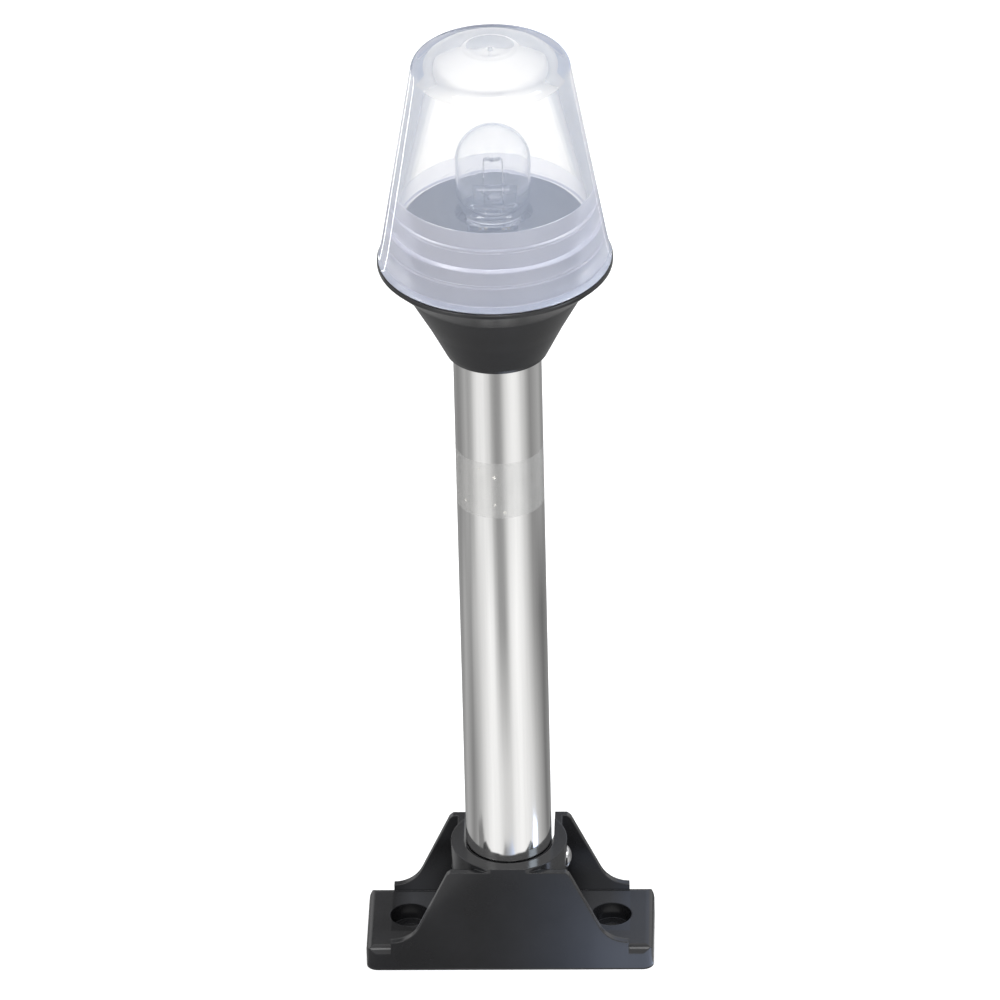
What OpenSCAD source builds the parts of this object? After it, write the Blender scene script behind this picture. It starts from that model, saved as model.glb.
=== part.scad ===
// Fold-down all-round navigation light on a short pole.
// Units are millimetres. The origin is the middle of the base's mounting face,
// +Z runs up the pole, +X along the base, and the pole folds back towards +Y.

/* [Base] */
// Length of the base along the deck
base_length = 64; // [60:1:76]
// Depth of the base, from the front cheek's face to the back cheek's face
base_depth = 24.6; // [24:0.2:27]
// Height of the mounting flange
flange_height = 5.8; // [5:0.1:7]
// Height of the two cheeks
cheek_height = 25.9; // [25:0.1:27]
// Thickness of a cheek
cheek_wall = 1.6; // [1.2:0.1:2]
// Half width of a cheek's top edge
cheek_top = 13.4; // [13:0.1:15]
// Distance between the two screw holes
screw_spacing = 45; // [43:1:50]
// Diameter of a screw hole
screw_hole_d = 4.6; // [3.6:0.1:5]
// Diameter of the recess for a screw head
screw_recess_d = 9; // [8:0.1:10]

/* [Pivot] */
// Height of the fold pivot above the deck
pivot_height = 22.2; // [21.5:0.1:22.5]
// Diameter of the pivot pin
pin_d = 4.8; // [4:0.1:5]
// Radius of the round socket that holds the pole's foot
socket_r = 10; // [9.9:0.1:10.4]
// Height of the socket's rim
socket_rim = 26.9; // [26.5:0.1:28]

/* [Pole] */
// Outside diameter of the pole tube
tube_d = 19.05; // [19:0.05:19.1]
// Wall of the pole tube
tube_wall = 1; // [0.8:0.1:1.2]
// Height of the tube's lower end
tube_foot = 26.7; // [26.2:0.1:29.5]
// Height of the head's lower edge
head_foot = 153.6; // [100:0.1:300]

/* [Head] */
// Radius of the head's rim
rim_r = 25.26; // [25.1:0.02:26]
// Radius of the threaded neck
neck_r = 18.6; // [18.4:0.05:18.65]
// Radius of the lens at its foot
lens_foot_r = 25; // [24.8:0.05:25.1]
// Radius of the lens at its shoulder
lens_shoulder_r = 17; // [16.5:0.1:18]
// Wall of the lens just above its threads
lens_wall = 2.9; // [2.6:0.1:3.2]

/* [Bulb] */
// Radius of the glass bulb
bulb_r = 7.85; // [7.6:0.05:8]
// Wall of the glass bulb
bulb_wall = 0.6; // [0.4:0.1:0.8]

/* [Hidden] */
$fn = 96;

eps = 0.01;
half_depth = base_depth / 2;
tube_r = tube_d / 2;
tube_bore_r = tube_r - tube_wall;
pin_r = pin_d / 2;
running_gap = 0.05;

// Base: roundings, cheek outline, screw holes and wire outlet
flange_round = 1.8;
corner_round = 2.5;
cheek_foot = 26.4;
cheek_foot_step = 1.5;
cheek_sweep_r = 7;
cheek_flank_angle = 64.4;
cheek_corner = 0.7;
boss_r = 12.9;
slot_wall = 1.6;
screw_back = 1.1;
screw_seat = 1.8;
wire_outlet_r = 5;

// Knuckle
knuckle_r = 9.6;
plug_top = 42;
wire_way_r = 2.2;
wire_way_back = 5.3;

// Tape band round the pole
tape_foot = head_foot - 37.4;
tape_top = tape_foot + 14;
tape_thickness = 0.08;

// Head, from its lower edge up to the top of the neck
cone_foot_r = 11.06;
cone_mid = [14.75, head_foot + 7.5];
cone_top = [19.68, head_foot + 16.6];
rim_low = head_foot + 21.75;
rim_top = head_foot + 22.8;
neck_top = head_foot + 35.2;
neck_bevel = 0.5;
seal_seat_r = 18.8;
tube_seat = head_foot + 14.4;
holder_bore_r = 8;
holder_pocket = [10.4, 22.4];
holder_pocket_floor = neck_top - 5;
bulb_opening_r = 8.2;

// Lens: heights above the head's rim
lens_foot = rim_top + 0.05;
lens_flare_top = [24.07, rim_top + 4.2];
lens_shoulder = [lens_shoulder_r, rim_top + 45.8];
shoulder_round = 2.9;
dome_end_angle = 67.4;
dome_top = rim_top + 51.1;
skirt_bore_r = 20.9;
skirt_step = rim_top + 8.4;
thread_bore_r = 19.15;
thread_top = rim_top + 17;
ceiling_wall = 2.6;
ceiling_corner = [lens_shoulder_r - 7.6, rim_top + 42.7];
ceiling_round = 3.85;
ceiling_start_angle = 13;
ceiling_end_angle = 67;
dimple_r = 5.1;
dimple_depth = 0.7;
gate_r = 0.55;
gate_height = 1;

// Seal
seal_section_r = 0.95;
seal_r = 19.9;

// Bulb
bulb_dome = head_foot + 48;
bulb_waist = bulb_dome - 7.7;
bulb_neck = [5.8, bulb_dome - 13.6];
bulb_floor = bulb_neck[1] + 0.6;
pinch = [10.2, 2.4];
pinch_top = bulb_neck[1] - 2.6;
pinch_foot = pinch_top - 7.5;
support_x = 2.6;
support_r = 0.2;
filament_z = bulb_dome;
filament_r = 0.45;
bead_z = bulb_dome - 7;
bead_r = 0.7;
bead_end = 0.8;
lead_r = 0.25;

// Holder, contacts, terminals and wires
holder_top = holder_pocket_floor + 2.6;
holder_foot = tube_seat + 2;
holder_plate = [10, 22];
slot_size = [10.8, 4.4];
slot_floor = pinch_foot - 2.2;
screw_y = 8.9;
screw_r = 0.9;
screw_grip = 5;
contact_x = 2.4;
contact_w = 2;
contact_t = 0.35;
contact_gap = pinch[1] / 2 + lead_r * 2 + 0.06;
contact_top = pinch_top - 0.4;
terminal_r = 1.3;
terminal_length = 5;
terminal_end = 1;
wire_r = 0.9;
wire_sides = 8;
wire_low_x = 1;
wire_foot = pivot_height - 6.9;
wire_bends = 8;
wire_bend_top = tube_seat - 4;
wire_bend_foot = plug_top + 4;

// Route of the right wire: down from its terminal, then over to the way in the knuckle
wire_route = concat(
    [[contact_x, 0, slot_floor - terminal_end - 0.1]],
    [for (i = [0 : wire_bends])
        let (t = i / wire_bends, s = t * t * (3 - 2 * t))
        [contact_x + (wire_low_x - contact_x) * s, wire_way_back * s,
        wire_bend_top + (wire_bend_foot - wire_bend_top) * t]],
    [[wire_low_x, wire_way_back, wire_foot]]
);

// Points of an arc in the plane of a profile
function arc(centre, r, from, to, steps) = [
    for (i = [0 : steps])
        let (a = from + (to - from) * i / steps)
        [centre[0] + r * cos(a), centre[1] + r * sin(a)]
];

// Points of a shallow dome from its edge to the axis
function dome(edge, top, steps) =
    let (sag = top - edge[1], r = (edge[0] * edge[0] + sag * sag) / (2 * sag))
    [for (i = [0 : steps])
        let (x = edge[0] * (1 - i / steps))
        [x, top - r + sqrt(r * r - x * x)]];

// Rectangle whose two top corners are round
module round_top(width, height, r) {
    translate([-width / 2, 0]) square([width, height - r]);
    translate([-width / 2 + r, 0]) square([width - 2 * r, height]);
    for (side = [-1, 1])
        translate([side * (width / 2 - r), height - r]) circle(r);
}

// Rectangle with four round corners
module round_plate(width, depth, r) {
    square([width, depth - 2 * r], center = true);
    square([width - 2 * r, depth], center = true);
    for (x = [-1, 1], y = [-1, 1])
        translate([x * (width / 2 - r), y * (depth / 2 - r)]) circle(r);
}

// Extrudes an outline drawn in X and Z over a stretch of Y
module along_y(from, to) {
    translate([0, to, 0]) rotate([90, 0, 0]) linear_extrude(to - from) children();
}

// Extrudes an outline drawn in Y and Z over a stretch of X
module along_x(from, to) {
    translate([from, 0, 0]) rotate([90, 0, 90]) linear_extrude(to - from) children();
}

module flange() {
    intersection() {
        linear_extrude(flange_height) round_plate(base_length, base_depth, corner_round);
        along_y(-half_depth, half_depth)
            round_top(base_length, flange_height, flange_round);
        along_x(-base_length / 2, base_length / 2)
            round_top(base_depth, flange_height, flange_round);
    }
}

// Outline of a cheek: straight flanks that sweep out into the flange
module cheek_outline() {
    sweep_z = flange_height + cheek_foot_step + cheek_sweep_r;
    touch_x = cheek_foot - cheek_sweep_r * sin(cheek_flank_angle);
    touch_z = sweep_z - cheek_sweep_r * cos(cheek_flank_angle);
    half = [
        [cheek_top - cheek_corner, cheek_height],
        [cheek_top + cheek_corner / 5, cheek_height - cheek_corner],
        [touch_x, touch_z], [cheek_foot, touch_z], [cheek_foot, 0]
    ];
    difference() {
        polygon(concat(half, [for (i = [4 : -1 : 0]) [-half[i][0], half[i][1]]]));
        for (side = [-1, 1])
            translate([side * cheek_foot, sweep_z]) circle(cheek_sweep_r);
    }
}

module cheeks() {
    along_y(-half_depth, -half_depth + cheek_wall) cheek_outline();
    along_y(half_depth - cheek_wall, half_depth) cheek_outline();
}

// Round boss between the cheeks, joined to the back cheek on both sides of the slot
module boss() {
    intersection() {
        cylinder(h = socket_rim, r = boss_r);
        translate([-boss_r, -half_depth, 0]) cube([2 * boss_r, base_depth, socket_rim]);
    }
    translate([-socket_r - slot_wall, 0, 0])
        cube([2 * (socket_r + slot_wall), half_depth, cheek_height]);
}

// Room for the pole's foot, and the slot that the pole folds back through
module fold_room() {
    translate([0, 0, flange_height]) cylinder(h = socket_rim, r = socket_r);
    translate([0, 0, pivot_height]) rotate([-90, 0, 0])
        cylinder(h = base_depth, r = socket_r);
    translate([-socket_r, 0, pivot_height])
        cube([2 * socket_r, base_depth, socket_rim]);
}

module screw_hole() {
    translate([0, 0, -eps]) cylinder(h = flange_height, d = screw_hole_d);
    translate([0, 0, screw_seat]) cylinder(h = flange_height, d = screw_recess_d);
}

module base_bracket() {
    color("#323234") difference() {
        union() {
            flange();
            cheeks();
            boss();
        }
        fold_room();
        for (side = [-1, 1])
            translate([side * screw_spacing / 2, screw_back, 0]) screw_hole();
        translate([0, 0, -eps]) cylinder(h = flange_height + 1, r = wire_outlet_r);
        translate([-boss_r, 0, pivot_height]) rotate([0, 90, 0])
            cylinder(h = 2 * boss_r + eps, r = pin_r);
    }
}

// Pin across the socket; its domed end stands out of the boss on the right
module pivot_pin() {
    dome_h = 0.9;
    shank_end = boss_r + 0.1;
    shank_start = boss_r - 0.5;
    dome_start = [pin_r, shank_start + shank_end];
    color("#d8d8da") translate([-shank_start, 0, pivot_height]) rotate([0, 90, 0])
        rotate_extrude() polygon(concat(
            [[0, 0], [pin_r - 0.3, 0], [pin_r, 0.3]],
            dome(dome_start, dome_start[1] + dome_h, 8)
        ));
}

// Plastic foot of the pole: plug inside the tube, collar and round end about the pivot
module pole_knuckle() {
    color("#2a2a2c") difference() {
        union() {
            translate([0, 0, pivot_height]) sphere(knuckle_r);
            translate([0, 0, pivot_height])
                cylinder(h = tube_foot - pivot_height, r = knuckle_r);
            translate([0, 0, pivot_height])
                cylinder(h = plug_top - pivot_height, r = tube_bore_r);
        }
        translate([-knuckle_r, 0, pivot_height]) rotate([0, 90, 0])
            cylinder(h = 2 * knuckle_r, r = pin_r + running_gap);
        translate([0, wire_way_back, 0]) cylinder(h = plug_top + 1, r = wire_way_r);
    }
}

module pole_tube() {
    color("#c9ccd0") difference() {
        translate([0, 0, tube_foot]) cylinder(h = tube_seat - tube_foot, r = tube_r);
        translate([0, 0, tube_foot - 1])
            cylinder(h = tube_seat - tube_foot + 2, r = tube_bore_r);
    }
}

module tube_tape() {
    color([0.86, 0.87, 0.88, 0.6]) difference() {
        translate([0, 0, tape_foot])
            cylinder(h = tape_top - tape_foot, r = tube_r + tape_thickness);
        translate([0, 0, tape_foot - 1])
            cylinder(h = tape_top - tape_foot + 2, r = tube_r);
    }
}

// Cone, rim and threaded neck in one moulding, with the bulb holder's pocket in its top
module head_housing() {
    color("#303032") difference() {
        rotate_extrude() polygon([
            [0, head_foot], [cone_foot_r, head_foot], cone_mid, cone_top,
            [rim_r - 0.2, rim_low], [rim_r, rim_low + 0.2], [rim_r, rim_top - 0.2],
            [rim_r - 0.2, rim_top], [neck_r, rim_top], [neck_r, neck_top - neck_bevel],
            [neck_r - neck_bevel, neck_top], [0, neck_top]
        ]);
        translate([0, 0, head_foot - 1]) cylinder(h = tube_seat - head_foot + 1, r = tube_r);
        translate([0, 0, tube_seat - 1])
            cylinder(h = neck_top - tube_seat, r = holder_bore_r);
        translate([0, 0, holder_pocket_floor])
            cylinder(h = neck_top, r = bulb_opening_r);
        translate([-holder_pocket[0] / 2, -holder_pocket[1] / 2, holder_pocket_floor])
            cube([holder_pocket[0], holder_pocket[1], neck_top]);
        for (side = [-1, 1])
            translate([0, side * screw_y, holder_pocket_floor - screw_grip])
                cylinder(h = screw_grip + 1, r = screw_r);
    }
}

module bulb_holder() {
    color("#26262a") difference() {
        union() {
            translate([0, 0, holder_foot])
                cylinder(h = holder_top - holder_foot, r = holder_bore_r - 0.1);
            translate([-holder_plate[0] / 2, -holder_plate[1] / 2, holder_pocket_floor])
                cube([holder_plate[0], holder_plate[1], holder_top - holder_pocket_floor]);
        }
        translate([-slot_size[0] / 2, -slot_size[1] / 2, slot_floor])
            cube([slot_size[0], slot_size[1], neck_top]);
        translate([0, 0, pinch_top - 0.2])
            cylinder(h = neck_top, r = bulb_neck[0] + 0.4);
        for (side = [-1, 1]) {
            translate([side * contact_x, 0, 0]) cylinder(h = neck_top, r = terminal_r);
            translate([0, side * screw_y, 0]) cylinder(h = neck_top, r = screw_r + 0.1);
        }
    }
}

// Two self-tapping screws that hold the bulb holder in its pocket
module holder_screws() {
    color("#b8b8bc") for (side = [-1, 1])
        translate([0, side * screw_y, 0]) {
            translate([0, 0, holder_pocket_floor - screw_grip])
                cylinder(h = holder_top - holder_pocket_floor + screw_grip, r = screw_r);
            translate([0, 0, holder_top]) cylinder(h = 1, r1 = 1.9, r2 = 1.5);
        }
}

// Spring clip that grips the bulb's flat base on both faces
module contact(side) {
    outer = contact_gap + contact_t;
    color("#c8a85a") translate([side * contact_x, 0, 0]) along_x(-contact_w / 2, contact_w / 2) {
        translate([-outer, slot_floor]) square([2 * outer, contact_t]);
        for (face = [-1, 1])
            translate([face * (contact_gap + contact_t / 2) - contact_t / 2, slot_floor])
                square([contact_t, contact_top - slot_floor]);
    }
}

module contact_left() { contact(-1); }

module contact_right() { contact(1); }

// Crimped barrel under a contact
module terminal(side) {
    color("#c0c0c4") translate([side * contact_x, 0, slot_floor - terminal_length])
        difference() {
            cylinder(h = terminal_length, r = terminal_r - 0.1);
            translate([0, 0, -terminal_end]) cylinder(h = terminal_length, r = wire_r);
        }
}

module terminal_left() { terminal(-1); }

module terminal_right() { terminal(1); }

// Round bar through the points of a route, with level rings
module route_bar(points, r, sides) {
    rings = len(points);
    shape = [for (p = points, i = [0 : sides - 1])
        [p[0] + r * cos(360 * i / sides), p[1] + r * sin(360 * i / sides), p[2]]];
    walls = [for (k = [0 : rings - 2], i = [0 : sides - 1])
        let (j = (i + 1) % sides)
        [k * sides + i, (k + 1) * sides + i, (k + 1) * sides + j, k * sides + j]];
    caps = [[for (i = [0 : sides - 1]) i],
        [for (i = [sides - 1 : -1 : 0]) (rings - 1) * sides + i]];
    polyhedron(shape, concat(walls, caps));
}

module wire_left() {
    color("#1c1c1e") mirror([1, 0, 0]) route_bar(wire_route, wire_r, wire_sides);
}

module wire_right() {
    color("#b0b0b4") route_bar(wire_route, wire_r, wire_sides);
}

module lens_seal() {
    color("#1a1a1a") translate([0, 0, rim_top + seal_section_r + 0.1])
        rotate_extrude() translate([seal_r, 0]) circle(seal_section_r, $fn = 24);
}

// Clear screw-on cap: its inside tapers more than its outside, so the wall is thickest at the
// shoulder, and its skirt is stepped for the neck and the seal
module lens() {
    taper = atan((lens_flare_top[0] - lens_shoulder[0]) / (lens_shoulder[1] - lens_flare_top[1]));
    corner = [lens_shoulder[0] - shoulder_round * cos(taper),
        lens_shoulder[1] - shoulder_round * sin(taper)];
    outer_corner = arc(corner, shoulder_round, taper, dome_end_angle, 7);
    outer_dome = dome(outer_corner[7], dome_top, 12);
    wall_foot = lens_flare_top[0] - (thread_top - lens_flare_top[1]) * tan(taper) - lens_wall;
    inner_corner = arc(ceiling_corner, ceiling_round, ceiling_start_angle, ceiling_end_angle, 6);
    inner_dome = dome(inner_corner[6], dome_top - ceiling_wall, 8);
    dimple_z = dome_top - 0.25;
    color([0.92, 0.94, 0.97, 0.35]) rotate_extrude() difference() {
        polygon(concat(
            [[skirt_bore_r, lens_foot], [lens_foot_r, lens_foot], lens_flare_top],
            outer_corner, outer_dome,
            [for (i = [8 : -1 : 0]) inner_dome[i]],
            [for (i = [6 : -1 : 0]) inner_corner[i]],
            [[wall_foot, thread_top], [thread_bore_r, thread_top - 0.3],
            [thread_bore_r, skirt_step], [skirt_bore_r, skirt_step - 0.6]]
        ));
        polygon([[gate_r, dimple_z - dimple_depth], [dimple_r * 0.6, dimple_z - dimple_depth * 0.7],
            [dimple_r, dimple_z], [dimple_r, dome_top + 1], [0, dome_top + 1],
            [0, dimple_z - dimple_depth + gate_height], [gate_r, dimple_z - dimple_depth + gate_height]]);
    }
}

// Hollow glass envelope that closes on its flat pinched base
module bulb_glass() {
    inner_r = bulb_r - bulb_wall;
    color([0.95, 0.97, 1, 0.35]) difference() {
        union() {
            rotate_extrude() polygon(concat(
                [[0, pinch_top], [bulb_neck[0] - 0.8, pinch_top], bulb_neck],
                [[bulb_r - 0.5, bulb_waist - 2.2], [bulb_r, bulb_waist]],
                arc([0, bulb_dome], bulb_r, 0, 90, 14)
            ));
            translate([-pinch[0] / 2, -pinch[1] / 2, pinch_foot])
                cube([pinch[0], pinch[1], pinch_top - pinch_foot + 1]);
        }
        rotate_extrude() polygon(concat(
            [[0, bulb_floor], [bulb_neck[0] - bulb_wall, bulb_floor],
            [inner_r - 0.5, bulb_waist - 2.2], [inner_r, bulb_waist]],
            arc([0, bulb_dome], inner_r, 0, 90, 12)
        ));
    }
}

// Coiled filament, drawn as its outer envelope
module bulb_filament() {
    color("#6a5f55") translate([-support_x + support_r, 0, filament_z]) rotate([0, 90, 0])
        cylinder(h = 2 * (support_x - support_r), r = filament_r, $fn = 24);
}

module bulb_support_wires() {
    color("#8c8c90") for (side = [-1, 1])
        translate([side * support_x, 0, bulb_floor])
            cylinder(h = filament_z + support_r - bulb_floor, r = support_r, $fn = 24);
}

// Glass bead that keeps the two support wires apart
module bulb_bead() {
    length = 2 * (support_x + bead_end);
    color([0.9, 0.93, 0.95, 0.5]) difference() {
        translate([-length / 2, 0, bead_z]) rotate([0, 90, 0])
            cylinder(h = length, r = bead_r, $fn = 32);
        for (side = [-1, 1])
            translate([side * support_x, 0, bead_z])
                cylinder(h = 4 * bead_r, r = support_r, center = true, $fn = 24);
    }
}

// Wire ends folded over the two faces of the bulb's base, under the contacts
module bulb_base_leads() {
    color("#a8a8ac") for (side = [-1, 1], face = [-1, 1])
        translate([side * contact_x, face * (pinch[1] / 2 + lead_r), pinch_foot])
            cylinder(h = pinch_top - pinch_foot - 1, r = lead_r, $fn = 24);
}

base_bracket();
pivot_pin();
pole_knuckle();
pole_tube();
tube_tape();
head_housing();
bulb_holder();
holder_screws();
contact_left();
contact_right();
terminal_left();
terminal_right();
wire_left();
wire_right();
lens_seal();
lens();
bulb_glass();
bulb_filament();
bulb_support_wires();
bulb_bead();
bulb_base_leads();
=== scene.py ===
"""Looks of a fold-down all-round navigation light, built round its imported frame.

Metres, +Z up, front towards -Y.
"""
import math

import bmesh
import bpy
from mathutils import Matrix, Vector
from mathutils.bvhtree import BVHTree


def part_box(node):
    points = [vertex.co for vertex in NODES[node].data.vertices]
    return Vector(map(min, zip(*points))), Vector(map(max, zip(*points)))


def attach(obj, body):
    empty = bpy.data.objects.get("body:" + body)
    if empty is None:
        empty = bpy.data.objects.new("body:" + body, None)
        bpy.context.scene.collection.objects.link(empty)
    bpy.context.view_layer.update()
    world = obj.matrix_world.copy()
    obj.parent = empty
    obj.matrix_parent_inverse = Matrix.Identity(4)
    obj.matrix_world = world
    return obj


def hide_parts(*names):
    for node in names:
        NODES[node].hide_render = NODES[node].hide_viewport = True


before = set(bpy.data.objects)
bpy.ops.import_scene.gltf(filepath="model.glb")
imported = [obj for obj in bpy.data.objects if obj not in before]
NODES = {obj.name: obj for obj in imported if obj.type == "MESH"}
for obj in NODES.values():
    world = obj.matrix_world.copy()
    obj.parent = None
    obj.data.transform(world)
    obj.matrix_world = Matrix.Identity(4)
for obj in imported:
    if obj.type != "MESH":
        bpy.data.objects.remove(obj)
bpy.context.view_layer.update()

MM = 0.001
ROUND_STEPS = 192

# ---------------------------------------------------------------- image points and camera

IMAGE_W, IMAGE_H = 1000, 1000
IMAGE_L = max(IMAGE_W, IMAGE_H)
POINTS = {
    "left": (366.5, None),
    "right": (656, None),
    "top": (None, 26),
    "bottom": (None, 970),
    "gate": (490.6, 44.5),
    "bulb_top": (493, 119),
    "lens_foot_left": (377, 256),
    "lens_foot_right": (611, 256),
    "cone_foot": (495.5, 373.8),
    "bubble_left": (465.4, 500),
    "bubble_right": (505, 513),
    "bubble_mid": (495, 505.3),
    "bubble_high": (494, 478),
    "bubble_side": (478.3, 469),
    "pole_foot": (508, 862.5),
    "pin_end": (570.3, 855),
    "recess_left": (409.5, 913),
    "recess_right": (614, 912.7),
}

CAMERA_TARGET = Vector((-0.00017, 0, 0.11523))
CAMERA_ELEVATION = math.radians(31.599)
CAMERA_YAW = math.radians(2.070)
CAMERA_ROLL = math.radians(1.386)
CAMERA_DISTANCE = 1.9551
CAMERA_LENS = 324.33
CAMERA_SENSOR = 36.0


def make_camera():
    """A camera without shift that looks at CAMERA_TARGET from the photograph's side."""
    flat = math.cos(CAMERA_ELEVATION)
    back = Vector((math.sin(CAMERA_YAW) * flat, -math.cos(CAMERA_YAW) * flat,
                   math.sin(CAMERA_ELEVATION)))
    right = Vector((math.cos(CAMERA_YAW), math.sin(CAMERA_YAW), 0))
    up = back.cross(right)
    x_axis = right * math.cos(CAMERA_ROLL) - up * math.sin(CAMERA_ROLL)
    y_axis = right * math.sin(CAMERA_ROLL) + up * math.cos(CAMERA_ROLL)
    data = bpy.data.cameras.new("camera")
    data.sensor_fit = "AUTO"
    data.sensor_width = CAMERA_SENSOR
    data.lens = CAMERA_LENS
    data.clip_start, data.clip_end = 0.05, 20
    camera = bpy.data.objects.new("camera", data)
    bpy.context.scene.collection.objects.link(camera)
    place = Matrix((x_axis, y_axis, back)).transposed().to_4x4()
    place.translation = CAMERA_TARGET + back * CAMERA_DISTANCE
    camera.matrix_world = place
    bpy.context.scene.camera = camera
    return camera


camera = make_camera()
CAMERA_PLACE = camera.matrix_world.copy()


def tree_of(*objects):
    """A BVH tree of these finished objects, which all sit at the origin."""
    verts, faces = [], []
    for obj in objects:
        start = len(verts)
        verts += [v.co.copy() for v in obj.data.vertices]
        faces += [[start + i for i in p.vertices] for p in obj.data.polygons]
    return BVHTree.FromPolygons(verts, faces)


def on_surface(point, tree):
    """Place and normal where the ray through an image point meets a surface or comes nearest it."""
    x, y = point
    aim = Vector((x - IMAGE_W / 2 + camera.data.shift_x * IMAGE_L,
                  IMAGE_H / 2 - y + camera.data.shift_y * IMAGE_L,
                  -IMAGE_L * CAMERA_LENS / CAMERA_SENSOR))
    start = CAMERA_PLACE.translation
    ray = (CAMERA_PLACE.to_3x3() @ aim).normalized()
    place, normal, _, _ = tree.ray_cast(start, ray)
    if place is None:
        reach, stride = 60, 2
        steps = [start + ray * (CAMERA_DISTANCE + d * MM) for d in range(-reach, reach + 1, stride)]
        place, normal, _, _ = min((tree.find_nearest(s) for s in steps), key=lambda hit: hit[3])
    return place, normal


# ---------------------------------------------------------------- mesh helpers

def finish_mesh(name, bm, sharp=35):
    """A smooth-shaded object from a bmesh, with edges sharper than that many degrees kept sharp."""
    bmesh.ops.remove_doubles(bm, verts=bm.verts, dist=1e-7)
    bmesh.ops.recalc_face_normals(bm, faces=bm.faces)
    mesh = bpy.data.meshes.new(name)
    bm.to_mesh(mesh)
    bm.free()
    mesh.polygons.foreach_set("use_smooth", [True] * len(mesh.polygons))
    mesh.set_sharp_from_angle(angle=math.radians(sharp))
    obj = bpy.data.objects.new(name, mesh)
    bpy.context.scene.collection.objects.link(obj)
    return obj


def piece(obj, body, material, slot, *nodes):
    """Gives a piece its material, makes it ride on a body, and stands it for CAD nodes. Slot is not
    used.
    """
    obj.data.materials.append(material)
    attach(obj, body)
    if nodes:
        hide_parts(*nodes)
    return obj


def add_rings(bm, rings, closed=False):
    """Faces between rings of vertices; a ring of one vertex is a tip."""
    pairs = list(zip(rings, rings[1:]))
    if closed:
        pairs.append((rings[-1], rings[0]))
    for low, high in pairs:
        count = max(len(low), len(high))
        for i in range(count):
            j = (i + 1) % count
            corners = list(dict.fromkeys([low[i % len(low)], low[j % len(low)],
                                          high[j % len(high)], high[i % len(high)]]))
            if len(corners) > 2:
                bm.faces.new(corners)


def revolve(name, profile, closed=False, sharp=35):
    """Turns a profile of (radius, height) about the Z axis."""
    bm = bmesh.new()
    rings = []
    for r, z in profile:
        if r < 1e-8:
            rings.append([bm.verts.new((0, 0, z))])
        else:
            rings.append([bm.verts.new((r * math.cos(2 * math.pi * i / ROUND_STEPS),
                                        r * math.sin(2 * math.pi * i / ROUND_STEPS), z))
                          for i in range(ROUND_STEPS)])
    add_rings(bm, rings, closed)
    return finish_mesh(name, bm, sharp)


def arc(centre, r, start, end, steps):
    """Points of an arc in a profile, with angles in degrees."""
    turn = [math.radians(start + (end - start) * i / steps) for i in range(steps + 1)]
    return [(centre[0] + r * math.cos(a), centre[1] + r * math.sin(a)) for a in turn]


def dome(edge, top, steps):
    """Points of a shallow dome from its edge to the axis."""
    sag = top - edge[1]
    r = (edge[0] ** 2 + sag ** 2) / (2 * sag)
    xs = [edge[0] * (1 - i / steps) for i in range(steps + 1)]
    return [(x, top - r + math.sqrt(r * r - x * x)) for x in xs]


def tube(name, points, radius, sides, sharp=50):
    """A round bar through points, closed at both ends."""
    bm = bmesh.new()
    side = None
    rings = []
    for i, p in enumerate(points):
        before, after = points[max(i - 1, 0)], points[min(i + 1, len(points) - 1)]
        ahead = (Vector(after) - Vector(before)).normalized()
        if side is None:
            side = ahead.orthogonal().normalized()
        side = (side - ahead * side.dot(ahead)).normalized()
        other = ahead.cross(side)
        rings.append([bm.verts.new(Vector(p) + side * radius * math.cos(2 * math.pi * k / sides)
                                   + other * radius * math.sin(2 * math.pi * k / sides))
                      for k in range(sides)])
    add_rings(bm, rings)
    bm.faces.new(rings[0])
    bm.faces.new(rings[-1])
    return finish_mesh(name, bm, sharp)


# ---------------------------------------------------------------- materials

def new_material(name):
    """A material with its node tree, the Principled node and its output."""
    material = bpy.data.materials.new(name)
    material.use_nodes = True
    tree = material.node_tree
    return material, tree, tree.nodes["Principled BSDF"], tree.nodes["Material Output"]


def add_node(tree, kind, values=None, **fields):
    """A node with its fields and input values set."""
    node = tree.nodes.new(kind)
    for key, value in fields.items():
        setattr(node, key, value)
    for key, value in (values or {}).items():
        node.inputs[key].default_value = value
    return node


def object_noise(tree, scale, stretch=(1, 1, 1), *, detail, rough=0.55):
    """Noise in object space, stretched along the axes."""
    coords = add_node(tree, "ShaderNodeTexCoord")
    mapping = add_node(tree, "ShaderNodeMapping", {"Scale": stretch})
    noise = add_node(tree, "ShaderNodeTexNoise",
                     {"Scale": scale, "Detail": detail, "Roughness": rough})
    tree.links.new(coords.outputs["Object"], mapping.inputs["Vector"])
    tree.links.new(mapping.outputs["Vector"], noise.inputs["Vector"])
    return noise.outputs["Fac"]


def ramp(tree, source, stops):
    """A colour ramp over a factor; a stop is (place, grey or colour)."""
    node = add_node(tree, "ShaderNodeValToRGB")
    elements = node.color_ramp.elements
    while len(elements) < len(stops):
        elements.new(0.5)
    for element, (place, colour) in zip(elements, stops):
        element.position = place
        element.color = (*(colour if isinstance(colour, tuple) else (colour,) * 3), 1)
    tree.links.new(source, node.inputs["Fac"])
    return node.outputs["Color"]


def add_bump(tree, shader, height, strength, distance):
    """Bump from a height."""
    bump = add_node(tree, "ShaderNodeBump", {"Strength": strength, "Distance": distance})
    tree.links.new(height, bump.inputs["Height"])
    tree.links.new(bump.outputs["Normal"], shader.inputs["Normal"])
    return bump


MOTTLE_SCALE, PATCH_SCALE, GRAIN_SCALE = 60, 35, 2600


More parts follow.
